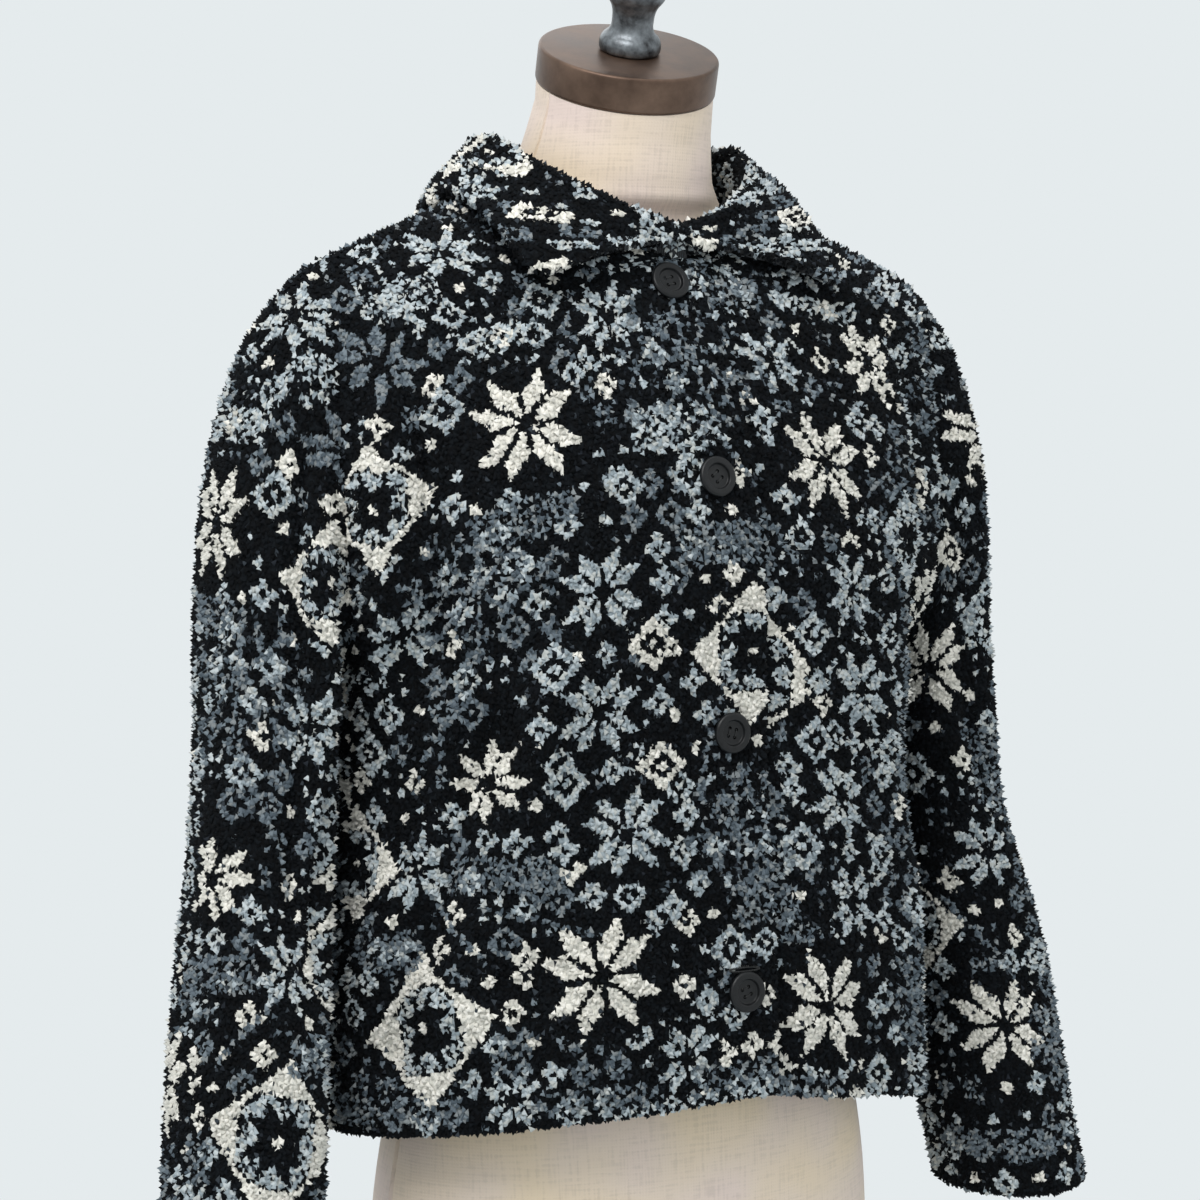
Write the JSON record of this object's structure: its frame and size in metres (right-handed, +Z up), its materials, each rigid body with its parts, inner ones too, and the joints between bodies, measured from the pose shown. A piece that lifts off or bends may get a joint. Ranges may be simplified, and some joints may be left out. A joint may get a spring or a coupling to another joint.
{
  "type": "cardigan on a dress form",
  "caption": "Boxy button-front fleece cardigan with a small turned-down collar and long sleeves, hanging on a limbless dress form with a neck cap, finial, column and round base.",
  "frame": {"origin": "centre of the round base's underside", "axes": "+Z up, -Y the way the fronts face, so +X is the wearer's left"},
  "size_m": [0.6498, 0.33, 1.1343],
  "materials": {
    "fleece": "matte pile",
    "form_linen": "matte",
    "button_resin": "satin",
    "cap_bronze": "satin",
    "stand_iron": "satin"
  },
  "bodies": {
    "root": {"back": "fleece", "front_right": "fleece", "front_left": "fleece", "sleeve_right": "fleece", "sleeve_left": "fleece", "collar": "fleece", "button_1": "button_resin", "button_2": "button_resin", "button_3": "button_resin", "button_4": "button_resin", "form_body": "form_linen", "neck_cap": "cap_bronze", "finial": "stand_iron", "column": "stand_iron", "base": "stand_iron"}
  },
  "joints": []
}
